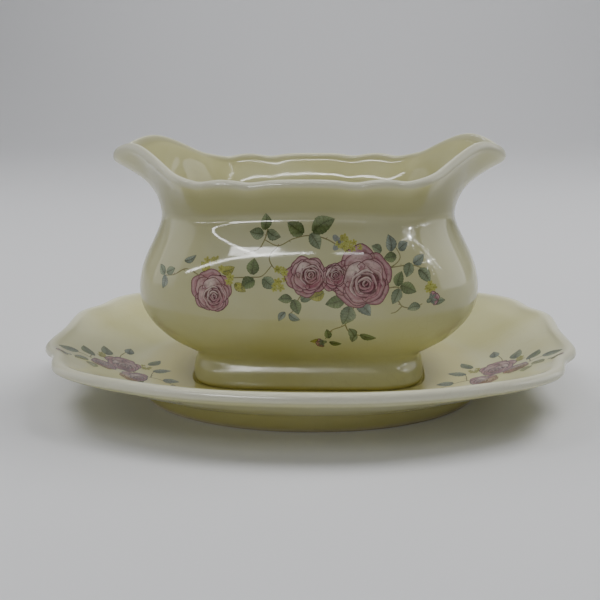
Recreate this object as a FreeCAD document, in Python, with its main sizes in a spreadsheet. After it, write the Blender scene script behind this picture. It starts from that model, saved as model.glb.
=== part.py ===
"""Gravy boat with its underplate: a twin-spouted earthenware boat standing on a scalloped oval saucer.

Millimetres, +Z up. The origin is the centre of the underplate's foot, on the table; X runs from
spout to spout and Y across the boat. Each piece is one smooth solid, made by lofting closed curves
that run right round it, because both are pressed ware with no flat sides to sketch.
"""

import FreeCAD
import Part

import math
import os

POINTS_ROUND = 144
END_BUNCHING = 0.35
NECK_SQUARENESS = 3.05
MIDDLE = 1.0e-6

SIZES = (
    # The underplate's outline, and its heights above the table.
    ("plate_half_length", 115.0),
    ("plate_half_width", 82.0),
    ("plate_rim_height", 26.5),
    ("plate_bead_thickness", 4.4),
    ("plate_foot_half_length", 77.0),
    ("plate_foot_half_width", 57.0),
    ("plate_foot_height", 8.0),
    ("plate_foot_ring_width", 4.0),
    ("plate_foot_recess", 3.4),
    # The shallow seat that the boat's foot drops into.
    ("seat_height", 8.0),
    ("seat_depth", 0.8),
    ("seat_gap", 0.4),
    # The boat, with heights above its own foot.
    ("boat_foot_half_length", 51.4),
    ("boat_foot_half_width", 32.0),
    ("boat_foot_ring_width", 4.5),
    ("boat_foot_recess", 4.6),
    ("waist_height", 13.0),
    ("waist_half_length", 50.4),
    ("waist_half_width", 30.2),
    ("belly_height", 40.0),
    ("belly_half_length", 75.4),
    ("belly_half_width", 48.8),
    ("neck_height", 76.4),
    ("neck_half_length", 63.4),
    ("neck_half_width", 39.4),
    ("neck_end_drop", 2.6),
    ("rim_height", 93.2),
    ("rim_half_width", 47.8),
    ("rim_notch", 1.2),
    ("spout_tip_reach", 85.6),
    ("spout_tip_height", 98.8),
    ("spout_crest_reach", 75.4),
    ("spout_crest_half_width", 18.4),
    ("spout_crest_height", 105.3),
    ("boat_wall", 4.2),
    ("boat_floor", 5.0),
    ("lip_thickness", 4.0),
    ("spout_lip_thickness", 6.6),
)


# How the belly swells out above the waist, and how the shoulder draws in to the neck: the share of
# the height, of the half length and of the half width, and the squareness of each row.
BELLY_SWELL = (
    (0.21, 0.31, 0.37, 3.5),
    (0.35, 0.54, 0.61, 3.2),
    (0.53, 0.75, 0.81, 2.95),
    (0.74, 0.92, 0.95, 2.8),
    (1.0, 1.0, 1.0, 2.75),
)
SHOULDER_DRAW_IN = (
    (0.22, 0.06, 0.0, 2.75),
    (0.41, 0.22, 0.07, 2.75),
    (0.59, 0.49, 0.24, 2.8),
    (0.76, 0.75, 0.47, 2.85),
    (0.89, 0.93, 0.73, 2.95),
    (1.0, 1.0, 1.0, NECK_SQUARENESS),
)


def make_sheet(doc):
    """The driving dimensions: one plain number per row, under a word alias."""
    sheet = doc.addObject("Spreadsheet::Sheet", "sizes")
    for row, (alias, value) in enumerate(SIZES, start=1):
        sheet.set(f"A{row}", alias)
        sheet.set(f"B{row}", str(value))
        sheet.setAlias(f"B{row}", alias)
    doc.recompute()
    return sheet


def smooth(knots, place):
    """Value at a place on the smooth curve through (place, value) knots, level at both ends."""
    last = len(knots) - 1
    slopes = [0.0] * (last + 1)
    for k in range(1, last):
        slopes[k] = (knots[k + 1][1] - knots[k - 1][1]) / (knots[k + 1][0] - knots[k - 1][0])
    k = 0
    while k < last - 1 and place > knots[k + 1][0]:
        k += 1
    start, end = knots[k], knots[k + 1]
    span = end[0] - start[0]
    t = min(max((place - start[0]) / span, 0.0), 1.0)
    bow = (2 * t ** 3 - 3 * t ** 2 + 1) * start[1] + (3 * t ** 2 - 2 * t ** 3) * end[1]
    lean = (t ** 3 - 2 * t ** 2 + t) * slopes[k] + (t ** 3 - t ** 2) * slopes[k + 1]
    return bow + span * lean


def by_angle(outline, column):
    """Knots of one column of a quarter outline against the angle round the piece, in degrees."""
    return [(math.degrees(math.atan2(point[1], point[0])), point[column]) for point in outline]


def quarter_angle(angle):
    """The angle in the first quarter that mirrors onto this one, in degrees."""
    return math.degrees(math.atan2(abs(math.sin(angle)), abs(math.cos(angle))))


def oval_radius(angle, half_length, half_width, squareness):
    """Radius of an oval: squareness 2 is an ellipse, and more makes a rounded rectangle."""
    along = abs(math.cos(angle) / half_length) ** squareness
    across = abs(math.sin(angle) / half_width) ** squareness
    return (along + across) ** (-1.0 / squareness)


def turn_of(step):
    """Angle of one step round a piece: the steps bunch up at the ends, where the outlines turn most."""
    even = 2.0 * math.pi * step / POINTS_ROUND
    return even - 0.5 * END_BUNCHING * math.sin(2.0 * even)


def ring(radius, height):
    """A closed row of surface poles round the Z axis, from functions of the angle."""
    points = []
    for step in range(POINTS_ROUND):
        angle = turn_of(step)
        reach = radius(angle)
        points.append(FreeCAD.Vector(reach * math.cos(angle), reach * math.sin(angle), height(angle)))
    return points


def oval_ring(height, half_length, half_width, squareness):
    """A level oval row."""
    return ring(lambda angle: oval_radius(angle, half_length, half_width, squareness), lambda angle: height)


def smooth_skin(rows):
    """A cubic B-spline face, closed round the Z axis, that starts on the first row and ends on the last."""
    around_knots = list(range(POINTS_ROUND + 1))
    along_knots = list(range(len(rows) - 2))
    along_counts = [4] + [1] * (len(rows) - 4) + [4]
    surface = Part.BSplineSurface()
    surface.buildFromPolesMultsKnots(
        poles=rows,
        umults=along_counts,
        vmults=[1] * (POINTS_ROUND + 1),
        uknots=along_knots,
        vknots=around_knots,
        uperiodic=False,
        vperiodic=True,
        udegree=3,
        vdegree=3,
    )
    return surface.toShape()


def end_wire(skin, height):
    """The closed edge of a skin that lies flat at a height."""
    for edge in skin.Edges:
        box = edge.BoundBox
        if edge.isClosed() and box.ZLength < 0.001 and abs(box.ZMin - height) < 0.001:
            return Part.Wire([edge])
    raise RuntimeError(f"no edge lies flat at {height}")


def flat_face(wires):
    """The flat face inside a level wire, or between two of them."""
    return Part.makeFace(wires, "Part::FaceMakerBullseye")


def close_solid(skins, flat_faces):
    """One solid bounded by smooth skins and the flat faces that close them."""
    shell = Part.makeShell(list(skins) + list(flat_faces))
    shell.sewShape()
    solid = Part.makeSolid(Part.Shell(shell.Faces))
    if solid.Volume < 0.0:
        solid.reverse()
    return solid


# ---------------------------------------------------------------------------------- underplate

def plate_outline(size):
    """Quarter of the plate's edge from the end round to the side: a straight end with a faint dip,
    then two lobes parted by notches, then one long plain sweep."""
    length = size.plate_half_length
    width = size.plate_half_width
    return (
        (length - 0.8, 0.0),
        (length, 14.0),
        (length - 0.2, 26.0),
        (length - 4.2, 33.5),
        (length - 8.2, 37.4),
        (length - 9.0, 45.0),
        (length - 14.2, 55.0),
        (length - 20.2, 59.4),
        (length - 26.5, 63.2),
        (length - 45.0, width - 11.4),
        (length - 70.0, width - 4.0),
        (length - 95.0, width - 0.6),
        (MIDDLE, width),
    )


def edge_knots(size):
    """The plate edge's radius against the angle."""
    return [(math.degrees(math.atan2(y, x)), math.hypot(x, y)) for x, y in plate_outline(size)]


def plate_ring(size, share, height, inset=0.0):
    """A curve between the well's oval (share 0) and the scalloped edge (share 1)."""
    knots = edge_knots(size)
    half_length = size.plate_foot_half_length
    half_width = size.plate_foot_half_width
    lobes = share ** 2

    def radius(angle):
        scalloped = smooth(knots, quarter_angle(angle))
        plain = oval_radius(angle, size.plate_half_length - 1.0, size.plate_half_width - 1.0, 2.35)
        edge = plain + lobes * (scalloped - plain)
        inner = oval_radius(angle, half_length, half_width, 2.2)
        return inner + share * (edge - inner) - inset

    return ring(radius, lambda angle: height)


def make_underplate(size):
    rim = size.plate_rim_height
    bead = size.plate_bead_thickness
    foot_length = size.plate_foot_half_length
    foot_width = size.plate_foot_half_width
    foot_top = size.plate_foot_height
    seat_length = size.boat_foot_half_length + size.seat_gap
    seat_width = size.boat_foot_half_width + size.seat_gap
    well = size.seat_height + size.seat_depth

    inner_length = foot_length - size.plate_foot_ring_width
    inner_width = foot_width - size.plate_foot_ring_width
    recess = smooth_skin(
        [
            oval_ring(size.plate_foot_recess, inner_length - 5.0, inner_width - 5.0, 2.1),
            oval_ring(size.plate_foot_recess, inner_length - 3.0, inner_width - 3.0, 2.1),
            oval_ring(0.5 * size.plate_foot_recess, inner_length - 0.8, inner_width - 0.8, 2.1),
            oval_ring(0.0, inner_length, inner_width, 2.1),
        ]
    )
    skin = smooth_skin(
        [
            oval_ring(0.0, foot_length, foot_width, 2.1),
            oval_ring(0.3 * foot_top, foot_length + 1.0, foot_width + 1.0, 2.1),
            oval_ring(0.8 * foot_top, foot_length + 2.0, foot_width + 2.0, 2.1),
            plate_ring(size, 0.12, foot_top + 0.4),
            plate_ring(size, 0.3, foot_top + 2.6),
            plate_ring(size, 0.55, foot_top + 6.4),
            plate_ring(size, 0.8, rim - bead - 3.4),
            plate_ring(size, 0.94, rim - bead - 1.2),
            plate_ring(size, 1.0, rim - bead, 1.4),
            plate_ring(size, 1.0, rim - 0.8 * bead, -0.2),
            plate_ring(size, 1.0, rim - 0.4 * bead, -0.4),
            plate_ring(size, 1.0, rim - 0.02 * bead, 0.6),
            plate_ring(size, 1.0, rim + 0.15, 2.4),
            plate_ring(size, 1.0, rim - 0.5, 4.6),
            plate_ring(size, 0.86, rim - 2.4),
            plate_ring(size, 0.68, rim - 5.6),
            plate_ring(size, 0.44, well + 6.2),
            plate_ring(size, 0.2, well + 2.4),
            plate_ring(size, 0.02, well + 0.7),
            oval_ring(well + 0.1, seat_length + 9.0, seat_width + 8.0, 3.2),
            oval_ring(well, seat_length + 1.8, seat_width + 1.8, 4.3),
            oval_ring(well, seat_length + 0.5, seat_width + 0.5, 4.5),
            oval_ring(size.seat_height + 0.1, seat_length + 0.2, seat_width + 0.2, 4.5),
            oval_ring(size.seat_height, seat_length - 0.8, seat_width - 0.8, 4.5),
        ]
    )
    under_face = flat_face([end_wire(recess, size.plate_foot_recess)])
    foot_face = flat_face([end_wire(skin, 0.0), end_wire(recess, 0.0)])
    seat_face = flat_face([end_wire(skin, size.seat_height)])
    return close_solid([recess, skin], [under_face, foot_face, seat_face])


# ---------------------------------------------------------------------------------- sauce boat

def rim_outline(size):
    """Quarter of the boat's lip from the spout's tip, over its crest and along the scalloped side."""
    tip = size.spout_tip_reach
    crest = size.spout_crest_reach
    crest_y = size.spout_crest_half_width
    crest_z = size.spout_crest_height
    rim = size.rim_height
    side = size.rim_half_width
    notch = size.rim_notch
    return (
        (tip, 0.0, size.spout_tip_height),
        (tip - 0.7, 6.4, size.spout_tip_height + 1.9),
        (0.5 * (tip + crest) + 1.4, 12.4, crest_z - 2.2),
        (crest, crest_y, crest_z),
        (crest - 5.4, crest_y + 4.8, crest_z - 1.0),
        (crest - 10.8, crest_y + 10.0, crest_z - 3.8),
        (crest - 16.0, crest_y + 15.0, crest_z - 7.0),
        (crest - 21.0, crest_y + 19.8, rim + 1.9),
        (crest - 26.0, crest_y + 24.0, rim + 0.5),
        (crest - 33.0, side - 3.2, rim - notch),
        (crest - 40.0, side - 0.9, rim + 0.3),
        (crest - 47.5, side - 0.4, rim),
        (crest - 54.0, side - 0.6 * notch, rim - notch),
        (crest - 61.0, side - 0.3, rim),
        (MIDDLE, side, rim + 0.3),
    )


def end_share(angle):
    """0 along the boat's sides and 1 at its ends."""
    share = math.cos(angle) ** 2
    return share * share * (3.0 - 2.0 * share)


def spout_share(angle):
    """1 in the middle of a spout, fading to 0 along the sides."""
    return math.exp(-(quarter_angle(angle) / 22.0) ** 2)


def body_ring(size, height, half_length, half_width, squareness):
    """A curve round the boat's body, drooping a little towards the ends as it climbs to the neck."""
    drop = size.neck_end_drop * height / size.neck_height
    return ring(
        lambda angle: oval_radius(angle, half_length, half_width, squareness),
        lambda angle: height - drop * end_share(angle),
    )


def between(start, end, share):
    """The value part of the way from start to end."""
    return start + share * (end - start)


def body_rows(size, inset):
    """Height, half length, half width and squareness of the body's rows, from above the waist up to
    the neck, drawn in by the wall for the inside."""
    rows = []
    for climb, length_share, width_share, squareness in BELLY_SWELL:
        half_length = between(size.waist_half_length, size.belly_half_length, length_share)
        half_width = between(size.waist_half_width, size.belly_half_width, width_share)
        height = between(size.waist_height, size.belly_height, climb)
        rows.append((height, half_length - inset, half_width - inset, squareness))
    for climb, length_share, width_share, squareness in SHOULDER_DRAW_IN:
        half_length = between(size.belly_half_length, size.neck_half_length, length_share)
        half_width = between(size.belly_half_width, size.neck_half_width, width_share)
        height = between(size.belly_height, size.neck_height, climb)
        rows.append((height, half_length - inset, half_width - inset, squareness))
    return rows


def flare_ring(size, along, inset):
    """A curve part of the way up the flare from the neck (along 0) to the lip (along 1)."""
    outline = rim_outline(size)
    reach_knots = [(math.degrees(math.atan2(y, x)), math.hypot(x, y)) for x, y, z in outline]
    height_knots = by_angle(outline, 2)
    weights = ((1 - along) ** 3, 3 * along * (1 - along) ** 2, 3 * along ** 2 * (1 - along), along ** 3)

    def lip(angle):
        return size.lip_thickness + spout_share(angle) * (size.spout_lip_thickness - size.lip_thickness)

    def radius(angle):
        spout = spout_share(angle)
        neck = oval_radius(angle, size.neck_half_length, size.neck_half_width, NECK_SQUARENESS) - inset
        edge = smooth(reach_knots, quarter_angle(angle)) - inset
        reaches = (neck, neck + 0.8 - 0.5 * spout, edge - 2.2 - 9.0 * spout, edge)
        return sum(weight * reach for weight, reach in zip(weights, reaches))

    def height(angle):
        spout = spout_share(angle)
        neck = size.neck_height - size.neck_end_drop * end_share(angle)
        edge = smooth(height_knots, quarter_angle(angle)) - 0.6 * lip(angle)
        heights = (neck, neck + 5.0 + 4.0 * spout, edge - 3.6 - 2.0 * spout, edge)
        return sum(weight * level for weight, level in zip(weights, heights))

    return ring(radius, height)


def lip_ring(size, turn):
    """A curve on the rounded lip: turn 0 is its outer edge, 90 its top and 180 its inner edge."""
    outline = rim_outline(size)
    reach_knots = [(math.degrees(math.atan2(y, x)), math.hypot(x, y)) for x, y, z in outline]
    height_knots = by_angle(outline, 2)
    across = 0.5 * size.boat_wall * (1.0 - math.cos(math.radians(turn)))
    up = math.sin(math.radians(turn))

    def radius(angle):
        return smooth(reach_knots, quarter_angle(angle)) - across

    def height(angle):
        lip = size.lip_thickness + spout_share(angle) * (size.spout_lip_thickness - size.lip_thickness)
        return smooth(height_knots, quarter_angle(angle)) - 0.6 * lip * (1.0 - up)

    return ring(radius, height)


def make_sauce_boat(size):
    foot_length = size.boat_foot_half_length
    foot_width = size.boat_foot_half_width
    recess_height = size.boat_foot_recess
    wall = size.boat_wall
    floor = recess_height + size.boat_floor
    waist = size.waist_height

    inner_length = foot_length - size.boat_foot_ring_width - 1.6
    inner_width = foot_width - size.boat_foot_ring_width - 1.6
    recess = smooth_skin(
        [
            oval_ring(recess_height, inner_length - 4.4, inner_width - 4.4, 3.8),
            oval_ring(recess_height, inner_length - 2.4, inner_width - 2.4, 4.0),
            oval_ring(0.5 * recess_height, inner_length - 1.0, inner_width - 1.0, 4.2),
            oval_ring(0.0, inner_length, inner_width, 4.4),
        ]
    )
    rows = [
        oval_ring(0.0, foot_length - 1.4, foot_width - 1.4, 4.6),
        oval_ring(0.2, foot_length - 0.4, foot_width - 0.4, 4.6),
        oval_ring(2.0, foot_length + 0.2, foot_width + 0.2, 4.6),
        oval_ring(5.2, foot_length + 0.1, foot_width + 0.1, 4.6),
        oval_ring(8.4, foot_length - 0.4, foot_width - 0.6, 4.5),
        oval_ring(10.6, foot_length - 1.6, foot_width - 1.9, 4.4),
        body_ring(size, waist, size.waist_half_length - 0.3, size.waist_half_width - 0.3, 4.2),
        body_ring(size, waist + 2.0, size.waist_half_length + 1.6, size.waist_half_width + 1.6, 3.9),
    ]
    rows += [body_ring(size, *row) for row in body_rows(size, 0.0)]
    rows += [flare_ring(size, along, 0.0) for along in (0.14, 0.3, 0.46, 0.62, 0.78, 0.9)]
    rows += [lip_ring(size, turn) for turn in (0.0, 45.0, 90.0, 135.0, 180.0)]
    rows += [flare_ring(size, along, wall) for along in (0.9, 0.76, 0.6, 0.45, 0.3, 0.14)]
    rows += [body_ring(size, *row) for row in reversed(body_rows(size, wall))]
    floor_length = size.waist_half_length - wall
    floor_width = size.waist_half_width - wall
    rows += [
        oval_ring(waist + 0.6, floor_length + 0.6, floor_width + 0.4, 3.6),
        oval_ring(floor + 0.6, floor_length - 3.0, floor_width - 3.0, 3.4),
        oval_ring(floor, floor_length - 8.0, floor_width - 7.0, 3.2),
        oval_ring(floor, floor_length - 14.0, floor_width - 12.0, 3.0),
    ]
    skin = smooth_skin(rows)
    recess_face = flat_face([end_wire(recess, recess_height)])
    foot_face = flat_face([end_wire(skin, 0.0), end_wire(recess, 0.0)])
    floor_face = flat_face([end_wire(skin, floor)])
    return close_solid([recess, skin], [recess_face, foot_face, floor_face])


# ------------------------------------------------------------------------------------ assembly

def add_piece(doc, label, shape):
    """A sub-part of the document, named after its node."""
    piece = doc.addObject("Part::Feature", label)
    piece.Label = label
    piece.Shape = shape
    piece.Placement = FreeCAD.Placement()
    return piece


def check_document(doc):
    """Stops on an object that failed, or on a shape that is empty or not valid."""
    for item in doc.Objects:
        if "Invalid" in item.State or "Error" in item.State:
            raise RuntimeError(f"{item.Label} failed: {item.State}")
    for item in doc.findObjects("Part::Feature"):
        if item.Shape.isNull() or not item.Shape.isValid():
            raise RuntimeError(f"{item.Label} has no valid shape")


def main():
    doc = FreeCAD.newDocument("gravy_boat")
    size = make_sheet(doc)
    pieces = [
        add_piece(doc, "underplate", make_underplate(size)),
        add_piece(doc, "sauce_boat", make_sauce_boat(size)),
    ]
    pieces[1].setExpression("Placement.Base.z", "sizes.seat_height")
    doc.recompute()
    check_document(doc)
    os.makedirs("parts", exist_ok=True)
    for piece in pieces:
        piece.Shape.exportStep(f"parts/{piece.Label}.step")
        box = piece.Shape.BoundBox
        print(piece.Label, round(piece.Shape.Volume), "mm3", box)


main()
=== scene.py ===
"""Gravy boat with its underplate: cream-glazed earthenware printed with rose sprays.

Both pieces are closed nets of quads under a subdivision surface, shaped like the CAD solids. The
prints are thin meshes laid on the glaze. Shapes are worked out in millimetres and stored in metres.
"""

import math
import random

import bpy
from mathutils import Matrix, Vector
from mathutils.bvhtree import BVHTree
from mathutils.interpolate import poly_3d_calc


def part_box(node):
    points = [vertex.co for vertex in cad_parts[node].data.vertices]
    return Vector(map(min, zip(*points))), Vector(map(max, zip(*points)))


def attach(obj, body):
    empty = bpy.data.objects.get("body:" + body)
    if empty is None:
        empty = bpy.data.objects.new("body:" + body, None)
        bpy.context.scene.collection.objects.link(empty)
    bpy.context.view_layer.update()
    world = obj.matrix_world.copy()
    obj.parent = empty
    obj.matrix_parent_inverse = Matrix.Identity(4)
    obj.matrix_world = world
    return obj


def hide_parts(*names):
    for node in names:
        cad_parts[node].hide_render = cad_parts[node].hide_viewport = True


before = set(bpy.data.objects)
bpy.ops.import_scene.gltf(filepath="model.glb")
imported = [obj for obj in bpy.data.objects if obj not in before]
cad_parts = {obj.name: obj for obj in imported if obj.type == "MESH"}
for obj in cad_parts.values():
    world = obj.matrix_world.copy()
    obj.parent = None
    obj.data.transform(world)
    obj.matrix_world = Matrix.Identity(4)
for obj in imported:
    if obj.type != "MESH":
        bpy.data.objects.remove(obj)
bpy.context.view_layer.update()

MM = 0.001
STEPS_ROUND = 96
END_BUNCHING = 0.35
MIDDLE = 1.0e-6
CAP_SHARES = (0.66, 0.3)
NECK_SQUARENESS = 3.05

_, PLATE_HIGH = [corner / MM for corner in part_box("underplate")]
BOAT_LOW, BOAT_HIGH = [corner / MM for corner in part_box("sauce_boat")]


# ------------------------------------------------------------------------------- driving sizes

class plate:
    """The underplate's sizes, with heights above the table."""

    half_length = PLATE_HIGH.x - 0.3
    half_width = PLATE_HIGH.y - 0.2
    rim = PLATE_HIGH.z
    bead = 4.4
    foot_length = 77.0
    foot_width = 57.0
    foot_height = 8.0
    foot_ring = 4.0
    foot_recess = 3.4
    seat = BOAT_LOW.z
    well = BOAT_LOW.z + 0.8


class boat:
    """The boat's sizes, with heights above its own foot."""

    foot_length = 51.4
    foot_width = 32.0
    foot_ring = 6.1
    recess = 4.6
    floor = 9.6
    waist, waist_length, waist_width = 13.0, 50.4, 30.2
    belly, belly_length, belly_width = 40.0, 75.4, BOAT_HIGH.y
    neck, neck_length, neck_width = 76.4, 63.4, 39.4
    neck_end_drop = 2.6
    rim = 93.2
    rim_width = 47.8
    notch = 1.2
    tip = BOAT_HIGH.x + 0.3
    tip_height = 98.8
    crest = 75.4
    crest_width = 18.4
    crest_height = BOAT_HIGH.z - BOAT_LOW.z + 0.4
    wall = 4.2
    lip = 4.0
    spout_lip = 6.6


SEAT_GAP = 0.4

# How the belly swells out above the waist, and how the shoulder draws in to the neck: the share of
# the height, of the half length and of the half width, and the squareness of each row.
BELLY_SWELL = (
    (0.21, 0.31, 0.37, 3.5),
    (0.35, 0.54, 0.61, 3.2),
    (0.53, 0.75, 0.81, 2.95),
    (0.74, 0.92, 0.95, 2.8),
    (1.0, 1.0, 1.0, 2.75),
)
SHOULDER_DRAW_IN = (
    (0.22, 0.06, 0.0, 2.75),
    (0.41, 0.22, 0.07, 2.75),
    (0.59, 0.49, 0.24, 2.8),
    (0.76, 0.75, 0.47, 2.85),
    (0.89, 0.93, 0.73, 2.95),
    (1.0, 1.0, 1.0, NECK_SQUARENESS),
)

# Rows up the flare's outside, round the lip and down the flare's inside: how far along or round each
# is, and how thin its glaze is. Below nought that is a painted shade on the flare's outside, and the
# thin glaze's white on the lip is partly a painted highlight.
OUTER_FLARE = ((0.14, -0.9), (0.3, -1.0), (0.46, -0.9), (0.62, -0.8), (0.78, -0.4), (0.9, 0.05))
LIP_TURNS = ((0.0, 0.5), (45.0, 1.0), (90.0, 1.0), (135.0, 0.6), (180.0, 0.1))
INNER_FLARE = (0.9, 0.76, 0.6, 0.45, 0.3, 0.14)

# How far round from the middle of a spout its shape fades into the side, in degrees.
SPOUT_SPREAD = 22.0


# ------------------------------------------------------------------------------- curves and rows

def between(start, end, share):
    """The value part of the way from start to end."""
    return start + share * (end - start)


def eased(share):
    """A share from 0 to 1 that starts and ends gently."""
    return share * share * (3.0 - 2.0 * share)


def smooth(knots, place):
    """Value at a place on the smooth curve through (place, value) knots, level at both ends."""
    last = len(knots) - 1
    slopes = [0.0] * (last + 1)
    for k in range(1, last):
        slopes[k] = (knots[k + 1][1] - knots[k - 1][1]) / (knots[k + 1][0] - knots[k - 1][0])
    k = 0
    while k < last - 1 and place > knots[k + 1][0]:
        k += 1
    start, end = knots[k], knots[k + 1]
    span = end[0] - start[0]
    t = min(max((place - start[0]) / span, 0.0), 1.0)
    bow = (2 * t ** 3 - 3 * t ** 2 + 1) * start[1] + (3 * t ** 2 - 2 * t ** 3) * end[1]
    lean = (t ** 3 - 2 * t ** 2 + t) * slopes[k] + (t ** 3 - t ** 2) * slopes[k + 1]
    return bow + span * lean


def quarter_angle(angle):
    """The angle in the first quarter that mirrors onto this one, in degrees."""
    return math.degrees(math.atan2(abs(math.sin(angle)), abs(math.cos(angle))))


def oval_radius(angle, half_length, half_width, squareness):
    """Radius of an oval: squareness 2 is an ellipse, and more makes a rounded rectangle."""
    along = abs(math.cos(angle) / half_length) ** squareness
    across = abs(math.sin(angle) / half_width) ** squareness
    return (along + across) ** (-1.0 / squareness)


def outline_angle(point):
    """How far round from the end a point of a quarter outline is, in degrees."""
    return math.degrees(math.atan2(point[1], point[0]))


def reach_knots(outline):
    """Radius against the angle for a quarter outline."""
    return [(outline_angle(point), math.hypot(point[0], point[1])) for point in outline]


def height_knots(outline):
    """Height against the angle for a quarter outline."""
    return [(outline_angle(point), point[2]) for point in outline]


class Row:
    """One closed row of net points, with how thin its glaze is, whose white is partly a painted
    highlight (below nought a painted shade darkens it instead, away from the spouts), and how bare its
    clay is."""

    def __init__(self, radius, height, thin=0.0, bare=0.0):
        self.points = []
        self.thin = []
        for step in range(STEPS_ROUND):
            even = 2.0 * math.pi * step / STEPS_ROUND
            angle = even - 0.5 * END_BUNCHING * math.sin(2.0 * even)
            reach = radius(angle)
            self.points.append(Vector((reach * math.cos(angle), reach * math.sin(angle), height(angle))))
            self.thin.append(thin if thin >= 0.0 else thin * (1.0 - spout_share(angle)))
        self.bare = bare


def oval_row(height, half_length, half_width, squareness, **glaze):
    """A level oval row."""
    return Row(
        lambda angle: oval_radius(angle, half_length, half_width, squareness),
        lambda angle: height,
        **glaze,
    )


def net_mesh(name, rows, lift):
    """A closed quad net through rows, from the middle of the underside to the middle of the inside."""
    vertices = []
    faces = []
    thin = []
    bare = []
    for row in rows:
        vertices += [(point + Vector((0.0, 0.0, lift))) * MM for point in row.points]
        thin += row.thin
        bare += [row.bare] * STEPS_ROUND
    for r in range(len(rows) - 1):
        for step in range(STEPS_ROUND):
            after = (step + 1) % STEPS_ROUND
            low, high = r * STEPS_ROUND, (r + 1) * STEPS_ROUND
            faces.append((low + step, low + after, high + after, high + step))
    for row_start, turned in ((0, True), ((len(rows) - 1) * STEPS_ROUND, False)):
        faces += cap_faces(vertices, thin, bare, row_start, turned)
    mesh = bpy.data.meshes.new(name)
    mesh.from_pydata(vertices, [], faces)
    # The glaze thinness whitens the glaze, partly as a painted highlight, and below nought darkens it as
    # a painted shade.
    for label, values in (("thin_glaze_painted_highlight_and_shade", thin), ("bare_clay", bare)):
        layer = mesh.attributes.new(label, "FLOAT", "POINT")
        layer.data.foreach_set("value", values)
    mesh.shade_smooth()
    mesh.validate()
    return mesh


def ring_quads(first, second):
    """The faces between two rings of corners, given where each ring starts."""
    faces = []
    for step in range(STEPS_ROUND):
        after = (step + 1) % STEPS_ROUND
        faces.append((first + step, second + step, second + after, first + after))
    return faces


def cap_faces(vertices, thin, bare, row_start, turned):
    """Closes a level end row with two inner rows and a fan to its middle."""
    faces = []
    outer = row_start
    ring = [Vector(vertices[row_start + step]) for step in range(STEPS_ROUND)]
    height = ring[0].z
    for share in CAP_SHARES:
        inner = len(vertices)
        vertices += [Vector((point.x * share, point.y * share, height)) for point in ring]
        thin += [0.0] * STEPS_ROUND
        bare += [0.0] * STEPS_ROUND
        for quad in ring_quads(inner, outer):
            faces.append(quad[::-1] if turned else quad)
        outer = inner
    middle = len(vertices)
    vertices.append(Vector((0.0, 0.0, height)))
    thin.append(0.0)
    bare.append(0.0)
    for step in range(STEPS_ROUND):
        after = (step + 1) % STEPS_ROUND
        corner = (middle, outer + step, outer + after)
        faces.append(corner[::-1] if turned else corner)
    return faces


def new_object(name, content):
    """A mesh, lamp or camera put in the scene."""
    thing = bpy.data.objects.new(name, content)
    bpy.context.scene.collection.objects.link(thing)
    return thing


def add_object(name, mesh, material, body):
    """A shown piece that rides on a body."""
    piece = new_object(name, mesh)
    mesh.materials.append(material)
    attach(piece, body)
    return piece


# ------------------------------------------------------------------------------- underplate

def plate_outline():
    """Quarter of the plate's edge from the end round to the side: a straight end with a faint dip,
    then two lobes parted by notches, then one long plain sweep."""
    length = plate.half_length
    width = plate.half_width
    return (
        (length - 0.8, 0.0),
        (length, 14.0),
        (length - 0.2, 26.0),
        (length - 4.2, 33.5),
        (length - 8.2, 37.4),
        (length - 9.0, 45.0),
        (length - 14.2, 55.0),
        (length - 20.2, 59.4),
        (length - 26.5, 63.2),
        (length - 45.0, width - 11.4),
        (length - 70.0, width - 4.0),
        (length - 95.0, width - 0.6),
        (MIDDLE, width),
    )


def plate_row(share, height, inset=0.0, thin=0.0):
    """A row between the foot's oval (share 0) and the scalloped edge (share 1)."""
    knots = reach_knots(plate_outline())

    def radius(angle):
        scalloped = smooth(knots, quarter_angle(angle))
        plain = oval_radius(angle, plate.half_length - 1.0, plate.half_width - 1.0, 2.35)
        edge = plain + share ** 2 * (scalloped - plain)
        inner = oval_radius(angle, plate.foot_length, plate.foot_width, 2.2)
        return inner + share * (edge - inner) - inset

    return Row(radius, lambda angle: height, thin=thin)


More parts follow.
